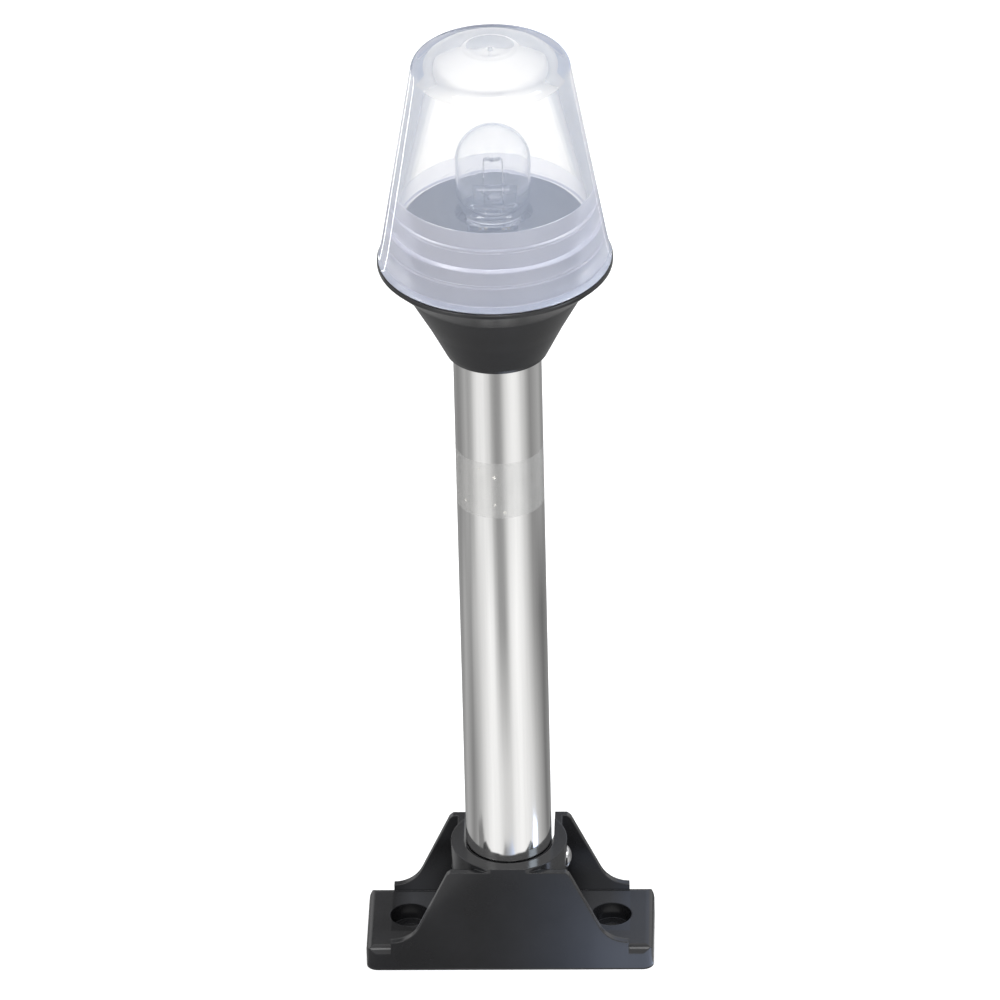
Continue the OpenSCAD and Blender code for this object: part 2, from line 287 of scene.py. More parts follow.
def moulded_plastic(name, low, high, roughness, grain, edge=0.0):
    """Moulded plastic: mottling, fine grain, smoother patches, and edges rounded by a radius."""
    material, tree, shader, _ = new_material(name)
    mottle = object_noise(tree, MOTTLE_SCALE, detail=3)
    tree.links.new(ramp(tree, mottle, [(0.35, low), (0.65, high)]), shader.inputs["Base Color"])
    patches = object_noise(tree, PATCH_SCALE, detail=5)
    tree.links.new(ramp(tree, patches, [(0.3, roughness[0]), (0.7, roughness[1])]),
                   shader.inputs["Roughness"])
    bump = add_bump(tree, shader, object_noise(tree, GRAIN_SCALE, detail=2), grain, 0.05 * MM)
    if edge:
        bevel = add_node(tree, "ShaderNodeBevel", {"Radius": edge}, samples=8)
        tree.links.new(bevel.outputs["Normal"], bump.inputs["Normal"])
    shader.inputs["IOR"].default_value = 1.5
    return material


def metal(name, colour, roughness, stretch, scale, strength):
    """Bright metal with fine marks drawn out along one axis."""
    material, tree, shader, _ = new_material(name)
    marks = object_noise(tree, scale, stretch, detail=6, rough=0.65)
    dark = tuple(c * 0.93 for c in colour)
    tree.links.new(ramp(tree, marks, [(0.3, dark), (0.7, colour)]), shader.inputs["Base Color"])
    tree.links.new(ramp(tree, marks, [(0.3, roughness[0]), (0.7, roughness[1])]),
                   shader.inputs["Roughness"])
    shader.inputs["Metallic"].default_value = 1
    add_bump(tree, shader, marks, strength, 0.02 * MM)
    return material


def clear_material(name, colour, haze, haze_colour, roughness, ior, mottling, shade=0.9, deep=0):
    """Clear plastic or glass; haze is the share of light that its slightly milky body scatters.

    Deep is how much more it scatters of the light that has already gone round inside a thick wall.
    """
    material, tree, shader, output = new_material(name)
    dark = tuple(c * 0.985 for c in colour)
    mottle = object_noise(tree, mottling, detail=3)
    tree.links.new(ramp(tree, mottle, [(0.3, dark), (0.7, colour)]), shader.inputs["Base Color"])
    shader.inputs["Transmission Weight"].default_value = 1
    shader.inputs["Roughness"].default_value = roughness
    shader.inputs["IOR"].default_value = ior
    path = add_node(tree, "ShaderNodeLightPath")
    milk = add_node(tree, "ShaderNodeBsdfDiffuse", {"Color": (*haze_colour, 1)})
    body = add_node(tree, "ShaderNodeMixShader", {"Fac": haze})
    if deep:
        # A mirrored ray that glass didn't pass on: one that turned back inside the wall
        round_trip = add_node(tree, "ShaderNodeMath", operation="SUBTRACT")
        tree.links.new(path.outputs["Is Glossy Ray"], round_trip.inputs[0])
        tree.links.new(path.outputs["Is Transmission Ray"], round_trip.inputs[1])
        tree.links.new(ramp(tree, round_trip.outputs[0], [(0, haze_colour), (1, DEEP_MILK)]),
                       milk.inputs["Color"])
        share = add_node(tree, "ShaderNodeMath", {1: deep, 2: haze}, operation="MULTIPLY_ADD")
        tree.links.new(round_trip.outputs[0], share.inputs[0])
        tree.links.new(share.outputs[0], body.inputs["Fac"])
    tree.links.new(shader.outputs["BSDF"], body.inputs[1])
    tree.links.new(milk.outputs["BSDF"], body.inputs[2])
    clear = add_node(tree, "ShaderNodeBsdfTransparent", {"Color": (shade, shade, shade, 1)})
    mix = add_node(tree, "ShaderNodeMixShader")
    tree.links.new(path.outputs["Is Shadow Ray"], mix.inputs["Fac"])
    tree.links.new(body.outputs["Shader"], mix.inputs[1])
    tree.links.new(clear.outputs["BSDF"], mix.inputs[2])
    tree.links.new(mix.outputs["Shader"], output.inputs["Surface"])
    return material


def haze_material(name, colour, cover, roughness):
    """A thin film that hides a plain share of what lies under it and is a little wavy."""
    material, tree, shader, _ = new_material(name)
    dark = tuple(c * 0.9 for c in colour)
    mottle_scale, wave_scale, wave_strength = 300, 500, 0.3
    mottle = object_noise(tree, mottle_scale, detail=3)
    tree.links.new(ramp(tree, mottle, [(0.3, dark), (0.7, colour)]), shader.inputs["Base Color"])
    shader.inputs["Alpha"].default_value = cover
    shader.inputs["Roughness"].default_value = roughness
    add_bump(tree, shader, object_noise(tree, wave_scale, detail=2), wave_strength, 0.05 * MM)
    return material


BLACK_PLASTIC = moulded_plastic("black_plastic", (0.014, 0.014, 0.015), (0.019, 0.019, 0.021),
                                (0.16, 0.24), 0.08, edge=0.35 * MM)
HOLDER_PLASTIC = moulded_plastic("holder_plastic", (0.008, 0.008, 0.009), (0.012, 0.012, 0.014),
                                 (0.35, 0.45), 0.2)
RUBBER = moulded_plastic("rubber", (0.012, 0.012, 0.012), (0.02, 0.02, 0.02), (0.6, 0.75), 0.3)
WIRE_BLACK = moulded_plastic("wire_black", (0.015, 0.015, 0.016), (0.022, 0.022, 0.024),
                             (0.35, 0.45), 0.1)
WIRE_GREY = moulded_plastic("wire_grey", (0.36, 0.36, 0.37), (0.42, 0.42, 0.43),
                            (0.35, 0.45), 0.1)
POLE_METAL = metal("pole_metal", (0.875, 0.87, 0.86), (0.09, 0.14), (1, 1, 0.02), 900, 0.12)
STEEL = metal("bright_steel", (0.86, 0.86, 0.87), (0.12, 0.2), (1, 1, 1), 700, 0.1)
SCREW_STEEL = metal("screw_steel", (0.3, 0.3, 0.31), (0.4, 0.55), (1, 1, 1), 700, 0.2)
TINNED = metal("tinned_metal", (0.72, 0.72, 0.73), (0.25, 0.4), (1, 1, 1), 500, 0.2)
BRASS = metal("contact_brass", (0.78, 0.62, 0.3), (0.2, 0.3), (1, 1, 1), 500, 0.15)
TUNGSTEN = metal("tungsten", (0.6, 0.59, 0.57), (0.2, 0.35), (1, 1, 1), 800, 0.1)
MILK, DEEP_MILK = (0.68, 0.77, 0.98), (0.74, 0.74, 0.76)
LENS_IOR = 1.585
LENS_CLEAR = clear_material("lens_clear", (1.0, 0.995, 0.985), 0.17, MILK, 0.02, LENS_IOR, 90,
                            deep=0.5)
LENS_SATIN = clear_material("lens_satin", (1.0, 0.995, 0.985), 0.12, (0.95, 0.95, 0.95), 0.45,
                            LENS_IOR, 90, deep=0.5)
LENS_SKIRT = clear_material("lens_skirt", (0.9, 0.9, 0.93), 0.4, (0.88, 0.87, 0.98), 0.12,
                            LENS_IOR, 90)
BULB_CLEAR = clear_material("bulb_clear", (1.0, 1.0, 1.0), 0.02, MILK, 0.0, 1.5, 90, shade=0.97)
BEAD_CLEAR = clear_material("bead_clear", (0.97, 0.97, 0.97), 0.03, MILK, 0.05, 1.15, 90,
                            shade=0.97)
BUBBLE_CLEAR = clear_material("bubble_clear", (0.9, 0.91, 0.92), 0.2, (0.9, 0.9, 0.9), 0.05,
                              1.4, 400)
TAPE_FILM = haze_material("tape_film", (0.76, 0.755, 0.74), 0.105, 0.3)

CARRIED = {
    "base_bracket": BLACK_PLASTIC, "pivot_pin": STEEL, "pole_knuckle": BLACK_PLASTIC,
    "head_housing": BLACK_PLASTIC, "bulb_holder": HOLDER_PLASTIC, "holder_screws": SCREW_STEEL,
    "contact_left": BRASS, "contact_right": BRASS,
    "terminal_left": TINNED, "terminal_right": TINNED,
    "wire_left": WIRE_BLACK, "wire_right": WIRE_GREY, "lens_seal": RUBBER,
    "bulb_bead": BEAD_CLEAR, "bulb_base_leads": TINNED,
}
for node, material in CARRIED.items():
    for material_slot in NODES[node].material_slots:
        material_slot.material = material

# ---------------------------------------------------------------- lens

lens_low, lens_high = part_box("lens")
LENS_FOOT, LENS_TOP = lens_low.z, lens_high.z
LENS_FOOT_R = lens_high.x


def lens_profile():
    """The lens's closed profile: up the outside to the gate mark, then down the inside."""
    flare_top = (LENS_FOOT_R - 0.93 * MM, LENS_FOOT + 4.15 * MM)
    shoulder = (17 * MM, LENS_TOP - 5.3 * MM)
    shoulder_round, dome_end = 2.9 * MM, 67.4
    taper = math.atan((flare_top[0] - shoulder[0]) / (shoulder[1] - flare_top[1]))
    corner = (shoulder[0] - shoulder_round * math.cos(taper),
              shoulder[1] - shoulder_round * math.sin(taper))
    out = [(LENS_FOOT_R, LENS_FOOT + 0.3 * MM)]
    flare_steps = 8
    for i in range(1, flare_steps + 1):
        t = i / flare_steps
        out.append((LENS_FOOT_R + (flare_top[0] - LENS_FOOT_R) * t ** 0.9,
                    LENS_FOOT + (flare_top[1] - LENS_FOOT) * t))
    wall_steps = 12
    wall_top = (corner[0] + shoulder_round * math.cos(taper),
                corner[1] + shoulder_round * math.sin(taper))
    for i in range(1, wall_steps):
        t = i / wall_steps
        out.append((flare_top[0] + (wall_top[0] - flare_top[0]) * t,
                    flare_top[1] + (wall_top[1] - flare_top[1]) * t))
    corner_steps = 12
    outer_corner = arc(corner, shoulder_round, math.degrees(taper), dome_end, corner_steps)
    # A shallow dish with rounded lips, and the moulding gate's nub in its middle
    dish_r, dish_depth, lip = 5.2 * MM, 0.75 * MM, LENS_TOP - 0.16 * MM
    dish_steps, dish_share = 15, 0.86
    outer_dome = [p for p in dome(outer_corner[-1], LENS_TOP, 24)[1:] if p[0] > dish_r]
    dimple = []
    for i in range(dish_steps):
        t = 1 - i / dish_steps * dish_share
        dimple.append((dish_r * t, lip - dish_depth * (0.5 + 0.5 * math.cos(math.pi * t ** 1.6))))
    for radius, depth in ((0.5, 0.8), (0.42, 0.35), (0.2, 0.2), (0, 0.18)):
        dimple.append((radius * MM, LENS_TOP - depth * MM))
    # The inside of the thinner wall, with a round corner under the ceiling
    ceiling_corner, ceiling_round = (9.4 * MM, LENS_TOP - 8.4 * MM), 3.85 * MM
    inner_corner = arc(ceiling_corner, ceiling_round, 13, 67, corner_steps)
    inner_dome = dome(inner_corner[-1], LENS_TOP - 2.6 * MM, 20)
    thread_top, wall = LENS_FOOT + 16.95 * MM, 2.9 * MM
    wall_foot = flare_top[0] - (thread_top - flare_top[1]) * math.tan(taper) - wall
    inside = [(wall_foot, thread_top), (19.1 * MM, thread_top - 0.1 * MM),
              (19.15 * MM, thread_top - 0.3 * MM)]
    # Shallow groove under the threads, the step to the skirt's bore, and a bead above the seal
    for height, radius in ((13.1, 19.15), (12.75, 19.55), (12.25, 19.55), (11.9, 19.15),
                           (8.35, 19.15), (8.1, 20.7), (7.9, 20.9), (5.1, 20.9), (4.8, 20.5),
                           (4.5, 20.5), (4.2, 20.9), (0.2, 20.9), (0, 21.1)):
        inside.append((radius * MM, LENS_FOOT + height * MM))
    foot = [(LENS_FOOT_R - 0.3 * MM, LENS_FOOT)]
    return (out + outer_corner + outer_dome + dimple
            + list(reversed(inner_dome)) + list(reversed(inner_corner))[1:] + inside + foot)


SKIRT_TOP, SKIRT_BORE_R = LENS_FOOT + 17 * MM, 21.2 * MM
CEILING_FOOT = LENS_TOP - 7.6 * MM
lens = piece(revolve("lens_shell", lens_profile(), closed=True, sharp=30),
             "lens", LENS_CLEAR, "clear_lens", "lens")
lens.data.materials.append(LENS_SKIRT)
lens.data.materials.append(LENS_SATIN)
for face in lens.data.polygons:
    out_from_axis = math.hypot(face.center.x, face.center.y)
    if LENS_FOOT + 0.1 * MM < face.center.z < SKIRT_TOP and out_from_axis < SKIRT_BORE_R:
        face.material_index = 1
    elif face.center.z > CEILING_FOOT and face.normal.z < 0.05:
        face.material_index = 2

# ---------------------------------------------------------------- head: threads on the neck

head_low, head_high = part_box("head_housing")
NECK_TOP = head_high.z
NECK_R = 18.6 * MM


def neck_thread():
    """A rounded thread of one and a half turns on the neck, faded out at both ends."""
    lead, height, width, sink = 4 * MM, 0.3 * MM, 1.5 * MM, 0.05 * MM
    turns, steps, fade_steps = 1.6, 230, 14
    section = 9
    bm = bmesh.new()
    rings = []
    for i in range(steps + 1):
        t = i / steps
        a = 2 * math.pi * turns * t
        fade = min(1, t * steps / fade_steps, (1 - t) * steps / fade_steps)
        z = NECK_TOP - 8.6 * MM + lead * turns * t
        ring = []
        for k in range(section + 1):
            s = k / section
            r = NECK_R - sink + (height * fade + sink) * math.sin(math.pi * s)
            ring.append(bm.verts.new((r * math.cos(a), r * math.sin(a), z + width * (s - 0.5))))
        inner = NECK_R - 0.3 * MM
        ring.append(bm.verts.new((inner * math.cos(a), inner * math.sin(a), z)))
        rings.append(ring)
    add_rings(bm, rings)
    bm.faces.new(rings[0])
    bm.faces.new(rings[-1])
    return finish_mesh("neck_thread", bm, 60)


piece(neck_thread(), "pole", BLACK_PLASTIC, "black_plastic")

# ---------------------------------------------------------------- pole and tape

tube_low, tube_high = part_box("pole_tube")
TUBE_R = tube_high.x
TUBE_WALL = 1 * MM


def pole_profile():
    """The tube's closed profile, with its lower edge deburred."""
    chamfer = 0.15 * MM
    low, high = tube_low.z, tube_high.z
    bore = TUBE_R - TUBE_WALL
    return [(TUBE_R - chamfer, low), (TUBE_R, low + chamfer), (TUBE_R, (low + high) / 2),
            (TUBE_R, high), (bore, high), (bore, low + chamfer), (bore + chamfer, low)]


piece(revolve("pole_shell", pole_profile(), closed=True),
      "pole", POLE_METAL, "pole_metal", "pole_tube")

tape_low, tape_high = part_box("tube_tape")


def tape_band():
    """A band of clear tape wound once and a little more round the pole."""
    steps, overlap = 220, math.radians(24)
    thick, gap, edge_in, sway = 0.05 * MM, 0.02 * MM, 0.15 * MM, 0.12 * MM
    start = math.radians(118)
    bm = bmesh.new()
    rings = []
    for i in range(steps + 1):
        t = i / steps
        wound = (2 * math.pi + overlap) * t
        a = start + wound
        lift = gap + (thick * 0.3 if wound > 2 * math.pi - 0.05 else 0)
        inner, outer = TUBE_R + lift, TUBE_R + lift + thick * 0.8
        wave = sway * math.sin(3 * a)
        ring = [(inner, tape_low.z + edge_in + wave), (outer, tape_low.z + edge_in + wave),
                (outer, tape_high.z - edge_in + wave), (inner, tape_high.z - edge_in + wave)]
        rings.append([bm.verts.new((r * math.cos(a), r * math.sin(a), z)) for r, z in ring])
    add_rings(bm, rings)
    bm.faces.new(rings[0])
    bm.faces.new(rings[-1])
    return finish_mesh("tape_band", bm, 40)


tape = piece(tape_band(), "pole", TAPE_FILM, "clear_tape", "tube_tape")


def bubble(name, place, normal, radius):
    """A small flat bubble under the tape: a low round dome on its surface."""
    height, sink, rings, sides = 0.025 * MM, 0.01 * MM, 5, 16
    turn = normal.to_track_quat("Z", "Y")
    bm = bmesh.new()
    loops = []
    for k in range(rings + 1):
        a = math.pi / 2 * k / rings
        r, z = radius * math.cos(a), height * math.sin(a) - sink
        around = [2 * math.pi * i / sides for i in range(1 if k == rings else sides)]
        loops.append([bm.verts.new(place + turn @ Vector((r * math.cos(b), r * math.sin(b), z)))
                      for b in around])
    add_rings(bm, loops)
    bm.faces.new(loops[0])
    return finish_mesh(name, bm, 60)


tape_tree = tree_of(tape)
BUBBLES = {
    "bubble_left": 0.32, "bubble_right": 0.34, "bubble_mid": 0.25,
    "bubble_high": 0.4, "bubble_side": 0.25,
}
for name, radius in BUBBLES.items():
    place, normal = on_surface(POINTS[name], tape_tree)
    piece(bubble(name, place, normal, radius * MM), "pole", BUBBLE_CLEAR, "clear_tape")

# ---------------------------------------------------------------- bulb

bulb_low, bulb_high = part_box("bulb_glass")
BULB_R = bulb_high.x
BULB_DOME = bulb_high.z - BULB_R
PINCH_HALF = (5.1 * MM, 1.2 * MM)
PINCH_TOP = bulb_low.z + 7.5 * MM


def superellipse(half_x, half_y, power, steps):
    """Points round a superellipse: power 2 is an ellipse, and more is squarer."""
    points = []
    for i in range(steps):
        a = 2 * math.pi * i / steps
        c, s = math.cos(a), math.sin(a)
        points.append((half_x * math.copysign(abs(c) ** (2 / power), c),
                       half_y * math.copysign(abs(s) ** (2 / power), s)))
    return points


def bulb_glass():
    """A glass envelope with a hollow inside that closes on a flat pinched base."""
    steps = 96
    bm = bmesh.new()

    def ring(half_x, half_y, z, power=2.0):
        return [bm.verts.new((x, y, z)) for x, y in superellipse(half_x, half_y, power, steps)]

    neck, neck_r = bulb_low.z + 10.1 * MM, 5.8 * MM
    waist = BULB_DOME - 7.7 * MM
    edge, square = 0.3 * MM, 6
    outside = [ring(PINCH_HALF[0] - edge, PINCH_HALF[1] - edge, bulb_low.z, square),
               ring(*PINCH_HALF, bulb_low.z + edge, square),
               ring(*PINCH_HALF, PINCH_TOP - edge, square)]
    blend_steps, flare_steps, dome_steps = 8, 10, 20
    for i in range(1, blend_steps + 1):
        t = i / blend_steps
        ease = t * t * (3 - 2 * t)
        outside.append(ring(PINCH_HALF[0] + (neck_r - PINCH_HALF[0]) * ease,
                            PINCH_HALF[1] + (neck_r - PINCH_HALF[1]) * ease,
                            PINCH_TOP + (neck - PINCH_TOP) * t, square - 4 * ease))
    for i in range(1, flare_steps + 1):
        t = i / flare_steps
        r = neck_r + (BULB_R - neck_r) * math.sin(math.pi / 2 * t)
        outside.append(ring(r, r, neck + (waist - neck) * t))
    for i in range(dome_steps):
        a = math.pi / 2 * i / dome_steps
        r = BULB_R * math.cos(a)
        outside.append(ring(r, r, BULB_DOME + BULB_R * math.sin(a)))
    outside.append([bm.verts.new((0, 0, BULB_DOME + BULB_R))])
    add_rings(bm, outside)
    bm.faces.new(outside[0])
    wall = 0.45 * MM
    inner_r, inner_neck_r = BULB_R - wall, 5.2 * MM
    floor, floor_round = neck + 0.6 * MM, 0.7 * MM
    inside = [[bm.verts.new((0, 0, floor))], ring(4.4 * MM, 4.4 * MM, floor + 0.1 * MM),
              ring(inner_neck_r, inner_neck_r, floor + floor_round)]
    for i in range(1, flare_steps + 1):
        t = i / flare_steps
        r = inner_neck_r + (inner_r - inner_neck_r) * math.sin(math.pi / 2 * t)
        inside.append(ring(r, r, floor + floor_round + (waist - floor - floor_round) * t))
    for i in range(dome_steps):
        a = math.pi / 2 * i / dome_steps
        r = inner_r * math.cos(a)
        inside.append(ring(r, r, BULB_DOME + inner_r * math.sin(a)))
    inside.append([bm.verts.new((0, 0, BULB_DOME + inner_r))])
    add_rings(bm, inside)
    return finish_mesh("bulb_envelope", bm, 50)


def turn_inner_faces(obj):
    """Turns the faces of the hollow so that their normals point into it."""
    bm = bmesh.new()
    bm.from_mesh(obj.data)
    islands = []
    left = set(bm.faces)
    while left:
        stack = [left.pop()]
        island = set(stack)
        while stack:
            for edge in stack.pop().edges:
                for face in edge.link_faces:
                    if face in left:
                        left.discard(face)
                        island.add(face)
                        stack.append(face)
        islands.append(island)
    inner = min(islands, key=lambda faces: max(v.co.z for f in faces for v in f.verts))
    bmesh.ops.reverse_faces(bm, faces=list(inner))
    bm.to_mesh(obj.data)
    bm.free()


bulb = bulb_glass()
turn_inner_faces(bulb)
piece(bulb, "bulb", BULB_CLEAR, "bulb_clear", "bulb_glass")

SUPPORT_X = 1.95 * MM
support_low, support_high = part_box("bulb_support_wires")


def support_wire(name, side):
    """A wire that stands in the bulb and hooks in round one end of the filament."""
    x, low, top = side * SUPPORT_X, support_low.z, support_high.z
    path = [(x, 0, low), (x, 0, low + 4 * MM), (x * 1.02, 0, top - 5 * MM), (x, 0, top - 1.2 * MM),
            (x, 0, top - 0.4 * MM), (x * 0.93, 0, top - 0.22 * MM)]
    wire_r, sides = 0.14 * MM, 12
    return tube(name, path, wire_r, sides)


support_left = support_wire("bulb_support_left", -1)
support_right = support_wire("bulb_support_right", 1)
piece(support_left, "bulb", TUNGSTEN, "tungsten", "bulb_support_wires")
piece(support_right, "bulb", TUNGSTEN, "tungsten", "bulb_support_wires")


def filament():
    """A fine coil between the tops of the support wires."""
    turns, per_turn = 22, 12
    coil_r, wire_r, coil_half, most_sag = 0.4 * MM, 0.05 * MM, SUPPORT_X - 0.3 * MM, 0.25 * MM
    low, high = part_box("bulb_filament")
    z = (low.z + high.z) / 2
    points = [(-SUPPORT_X, 0, z)]
    for i in range(turns * per_turn + 1):
        t = i / (turns * per_turn)
        a = 2 * math.pi * turns * t
        sag = -most_sag * math.sin(math.pi * t)
        points.append((-coil_half + 2 * coil_half * t,
                       coil_r * math.cos(a), z + sag + coil_r * math.sin(a)))
    points.append((SUPPORT_X, 0, z))
    return tube("filament_coil", points, wire_r, 6)


piece(filament(), "bulb", TUNGSTEN, "tungsten", "bulb_filament")

# ---------------------------------------------------------------- floor, lamps and world

FLOOR_LIFT = 0.5
WORLD_LEVEL = 0.85
LAMP_AIM = Vector((0, 0, 0.1))

# What mirror rays see of the studio. A stop is (place, level) or (place, level of red, level of
# blue). Fans on the floor go by direction in degrees from the front, left negative: three rings
# near the part, which the pole mirrors at its foot, middle and top, and one further out with narrow
# lamps, which the lens mirrors. A plain ring close under the head is what its cone mirrors. The
# glass stops are what shows through the lens instead: white behind it between grey cards, which
# draw its wall. The sheets go by distance to the right in mm, in front of the base and up behind
# it, and by distance from the middle for those beside its cheeks.
FOOT_RING = [
    (-180, 0.35), (-142, 0.33), (-122, 0.45), (-108, 0.36), (-96, 0.26), (-84, 0.36), (-74, 0.48),
    (-56, 0.8), (-44, 0.98), (-34, 1.07), (-24, 1.02), (-12, 0.85), (0, 0.76), (10, 0.79),
    (22, 0.98), (36, 1.09), (48, 1.0), (60, 0.9), (70, 0.8), (84, 0.6), (96, 0.46), (108, 0.36),
    (122, 0.2), (142, 0.28), (180, 0.35),
]
MIDDLE_RING = [
    (-180, 0.35), (-134, 0.3), (-118, 0.46), (-104, 0.38), (-92, 0.34), (-82, 0.52), (-62, 0.74),
    (-46, 0.92), (-34, 1.1), (-24, 0.98), (-16, 0.6), (-8, 0.38), (5, 0.36), (10, 0.48), (17, 0.8),
    (24, 1.02), (34, 1.15), (42, 1.08), (56, 0.9), (66, 0.75), (75, 0.56), (85, 0.4), (96, 0.3),
    (110, 0.21), (123, 0.17), (142, 0.22), (180, 0.35),
]
TOP_RING = [
    (-180, 0.35), (-141, 0.3), (-130, 0.26), (-118, 0.28), (-106, 0.36), (-94, 0.46), (-84, 0.4),
    (-74, 0.48), (-66, 0.7), (-56, 0.92), (-40, 0.94), (-32, 0.86), (-24, 0.72), (-17, 0.46),
    (-10, 0.34), (0, 0.34), (7, 0.42), (14, 0.66), (22, 0.84), (36, 1.03), (48, 0.98), (54, 0.9),
    (62, 0.74), (70, 0.6), (80, 0.42), (90, 0.28), (101, 0.34), (114, 0.4), (129, 0.44), (145, 0.3),
    (180, 0.35),
]
FAR_RING = [
    (-180, 0.64), (-152, 0.64), (-151.4, 6), (-150.2, 6), (-149.6, 0.64), (-132.4, 0.68),
    (-131.9, 9), (-130.9, 9), (-130.4, 0.68), (-104, 0.64), (-84, 0.75), (-60, 1.0), (-30, 1.15),
    (-14, 0.9), (0, 0.8), (12, 0.95), (34, 1.2), (60, 1.0), (84, 0.72), (104, 0.64), (140, 0.7),
    (150, 0.64), (150.6, 2), (151.2, 2), (151.8, 0.64), (180, 0.64),
]
FLOOR_RINGS = [
    (0.001, FOOT_RING), (0.085, FOOT_RING), (0.148, MIDDLE_RING), (0.215, TOP_RING),
    (0.37, TOP_RING), (0.38, FAR_RING), (2.5, FAR_RING),
]
CONE_STOPS = [(-180, 0.3), (180, 0.3)]
CONE_RINGS = [(0.0116, CONE_STOPS), (0.03, CONE_STOPS)]
CHEEK_STOPS = [(13.2, 0.06), (18, 0.42, 0.46), (22, 0.5, 0.56), (26.6, 0.2)]
GLASS_STOPS = [
    (-180, 1.9, 1.6), (-164, 1.9, 1.6), (-155, 1.0, 0.84), (-115, 1.0, 0.84), (-106, 1.9, 1.6),
    (106, 1.9, 1.6), (115, 1.0, 0.84), (155, 1.0, 0.84), (164, 1.9, 1.6), (180, 1.9, 1.6),
]
GLASS_RINGS = [(0.05, GLASS_STOPS), (3, GLASS_STOPS)]
FOOT_STOPS = [
    (-60, 0.22), (-20, 0.24), (-8, 0.28), (2, 0.4, 0.48), (11, 0.65, 0.95), (17, 1.0, 1.5),
    (20, 1.3, 1.95), (25, 1.6, 2.35), (60, 1.8, 2.6),
]
BACK_STOPS = [
    (-200, 0.1), (-15, 0.12), (5, 0.2, 0.24), (20, 0.45, 0.65), (30, 0.7, 1.0), (200, 0.7, 1.0),
]


def make_floor():
    """A plain pale floor, wide enough to fill every view."""
    half = 12
    bm = bmesh.new()
    bm.faces.new([bm.verts.new((x * half, y * half, 0))
                  for x, y in ((-1, -1), (1, -1), (1, 1), (-1, 1))])
    floor = finish_mesh("floor", bm)
    material, tree, shader, output = new_material("floor_white")
    shader.inputs["Base Color"].default_value = (0.8, 0.8, 0.8, 1)
    shader.inputs["Roughness"].default_value = 0.9
    shader.inputs["Specular IOR Level"].default_value = 0
    path = add_node(tree, "ShaderNodeLightPath")
    seen = add_node(tree, "ShaderNodeMath", operation="MAXIMUM")
    tree.links.new(path.outputs["Is Camera Ray"], seen.inputs[0])
    tree.links.new(path.outputs["Is Transmission Ray"], seen.inputs[1])
    lift = add_node(tree, "ShaderNodeMath", {1: FLOOR_LIFT}, operation="MULTIPLY")
    tree.links.new(seen.outputs[0], lift.inputs[0])
    glow = add_node(tree, "ShaderNodeEmission", {"Color": (1, 1, 1, 1)})
    tree.links.new(lift.outputs[0], glow.inputs["Strength"])
    both = add_node(tree, "ShaderNodeAddShader")
    tree.links.new(shader.outputs["BSDF"], both.inputs[0])
    tree.links.new(glow.outputs["Emission"], both.inputs[1])
    tree.links.new(both.outputs["Shader"], output.inputs["Surface"])
    floor.data.materials.append(material)


def stop_colour(stop):
    """The colour of a stop: grey, or with a level of its own for blue and green nearer the red."""
    warm, blue = stop[1], stop[-1]
    return (warm, warm + (blue - warm) * 0.3, blue, 1)


def finish_card(name, rows, through=False):
    """A studio card from rows of (colour, corner), seen only by mirror rays or through glass."""
    material, tree, shader, output = new_material(name)
    light = add_node(tree, "ShaderNodeAttribute", attribute_name="light")
    glow = add_node(tree, "ShaderNodeEmission", {"Strength": 1.0})
    tree.links.new(light.outputs["Color"], glow.inputs["Color"])
    tree.links.new(glow.outputs["Emission"], output.inputs["Surface"])
    bm = bmesh.new()
    layer = bm.verts.layers.float_color.new("light")
    made = []
    for row in rows:
        line = []
        for colour, corner in row:
            vert = bm.verts.new(corner)
            vert[layer] = colour
            line.append(vert)
        made.append(line)
    for line, other in zip(made, made[1:]):
        for k in range(len(line) - 1):
            bm.faces.new((line[k], line[k + 1], other[k + 1]))
            bm.faces.new((line[k], other[k + 1], other[k]))
    mesh = bpy.data.meshes.new(name)
    bm.to_mesh(mesh)
    bm.free()
    card = bpy.data.objects.new(name, mesh)
    bpy.context.scene.collection.objects.link(card)
    card.data.materials.append(material)
    card.visible_camera = False
    card.visible_diffuse = False
    card.visible_glossy = not through
    card.visible_transmission = through
    card.visible_volume_scatter = False
    card.visible_shadow = False


def light_at(stops, place):
    """The colour of a list of stops at a place between two of them."""
    for start, end in zip(stops, stops[1:]):
        if place <= end[0]:
            t = (place - start[0]) / (end[0] - start[0])
            return [a + (b - a) * t for a, b in zip(stop_colour(start), stop_colour(end))]
    return stop_colour(stops[-1])


def make_fan(name, rings, height, through=False):
    """Rings round the pole, each (radius, stops), whose light changes with direction and radius."""
    turns = {float(turn) for turn in range(-180, 181, 5)}
    turns |= {float(stop[0]) for _, stops in rings for stop in stops}
    rows = []
    for turn in sorted(turns):
        across, ahead = math.sin(math.radians(turn)), math.cos(math.radians(turn))
        rows.append([(light_at(stops, turn), (r * across, -r * ahead, height))
                     for r, stops in rings])
    finish_card(name, rows, through)


# The cheeks' outline, in mm: height, half the width at the top, fall of the flank, and the flange
CHEEK_TOP, CHEEK_TOP_HALF, FLANK_SLOPE, FLANGE_TOP = 25.9, 13.4, 2.09, 5.8
CHEEK_THICK = 1.7 * MM


def cheek_height(x):
    """How high the front cheek stands at this distance from the middle, in mm."""
    past = abs(x) - CHEEK_TOP_HALF
    return CHEEK_TOP if past < 0 else max(FLANGE_TOP, CHEEK_TOP - FLANK_SLOPE * past)


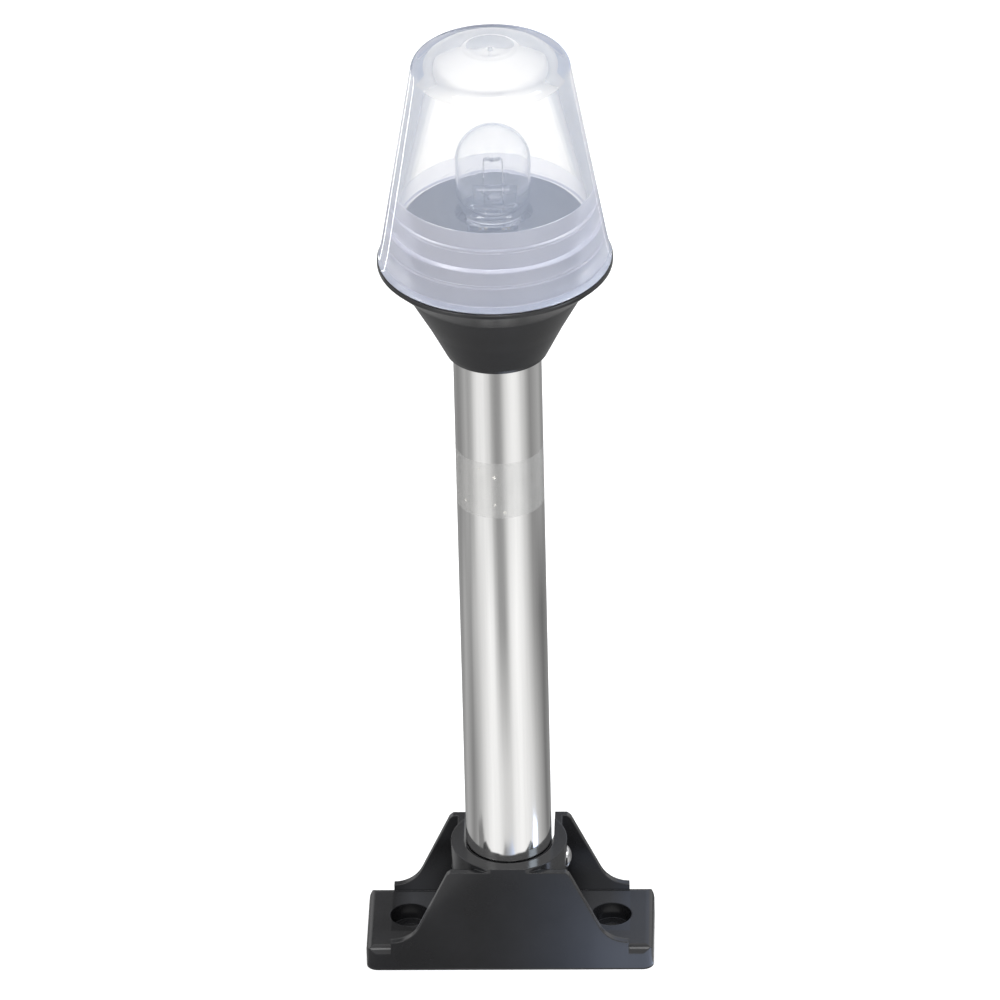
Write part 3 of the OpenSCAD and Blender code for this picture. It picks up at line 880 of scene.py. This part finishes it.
def make_foot_sheet():
    """What the base's front face mirrors: a sheet on the floor in front of it."""
    rows = []
    slope, past, lift = math.tan(CAMERA_ELEVATION), 1.5, 0.4 * MM
    near = base_low.y + 2 * MM
    for stop in FOOT_STOPS:
        far = base_low.y - (cheek_height(stop[0]) / slope + past) * MM
        rows.append([(stop_colour(stop), (stop[0] * MM, y, lift)) for y in (near, far)])
    finish_card("foot_sheet", rows)


def make_back_sheet():
    """What the base's upward faces mirror: a sheet some way behind it."""
    behind, low, high = 0.25, 0.12, 0.2
    finish_card("back_sheet", [[(stop_colour(stop), (stop[0] * MM, behind, z)) for z in (low, high)]
                               for stop in BACK_STOPS])


def make_cheek_sheets(side):
    """What the back cheek's inner face mirrors: on the flange and behind the front cheek."""
    low, high = [], []
    lift, fade = 6, 5 * MM
    for stop in CHEEK_STOPS:
        x, top = side * stop[0] * MM, cheek_height(stop[0]) - 0.4
        behind = light_at(BACK_STOPS, side * stop[0])
        colour = behind if stop is CHEEK_STOPS[-1] else stop_colour(stop)
        low.append([(behind, (x, -fade, lift * MM)), (colour, (x, fade, lift * MM)),
                    (colour, (x, base_high.y - CHEEK_THICK, lift * MM))])
        high.append([(colour, (x, base_low.y + CHEEK_THICK, z * MM))
                     for z in (lift - 0.1, max(top, lift))])
    finish_card("cheek_sheet_low", low)
    finish_card("cheek_sheet_high", high)


def make_lamp(name, size, place, level, colour=(1, 1, 1), mirrored=True):
    """A square soft box at a place, aimed at LAMP_AIM; level is its radiance."""
    data = bpy.data.lights.new(name, "AREA")
    data.shape = "SQUARE"
    data.size = size
    data.energy = level * math.pi * size * size
    data.color = colour
    lamp = bpy.data.objects.new(name, data)
    bpy.context.scene.collection.objects.link(lamp)
    lamp.visible_glossy = mirrored
    lamp.location = place
    lamp.rotation_mode = "QUATERNION"
    lamp.rotation_quaternion = (LAMP_AIM - Vector(place)).to_track_quat("-Z", "Y")


make_floor()
base_low, base_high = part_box("base_bracket")
make_fan("floor_card", FLOOR_RINGS, 0.2 * MM)
make_fan("cone_card", CONE_RINGS, head_low.z - 0.6 * MM)
make_fan("glass_card", GLASS_RINGS, 0.3 * MM, through=True)
make_foot_sheet()
make_back_sheet()
make_cheek_sheets(-1)
make_cheek_sheets(1)
make_lamp("key_box", 0.6, (-1.0, -0.9, 1.5), 5.0)
make_lamp("fill_box", 0.6, (1.3, -0.5, 1.1), 4.5, (0.75, 0.87, 1.0))
make_lamp("back_box", 0.9, (0.1, 1.3, 1.3), 1.2, mirrored=False)
make_lamp("top_box", 0.7, (0.1, -0.8, 1.7), 4.0)

world = bpy.data.worlds.new("studio")
bpy.context.scene.world = world
world.use_nodes = True
world.node_tree.nodes["Background"].inputs["Color"].default_value = (1, 1, 1, 1)
world.node_tree.nodes["Background"].inputs["Strength"].default_value = WORLD_LEVEL
bpy.context.scene.view_settings.view_transform = "Standard"
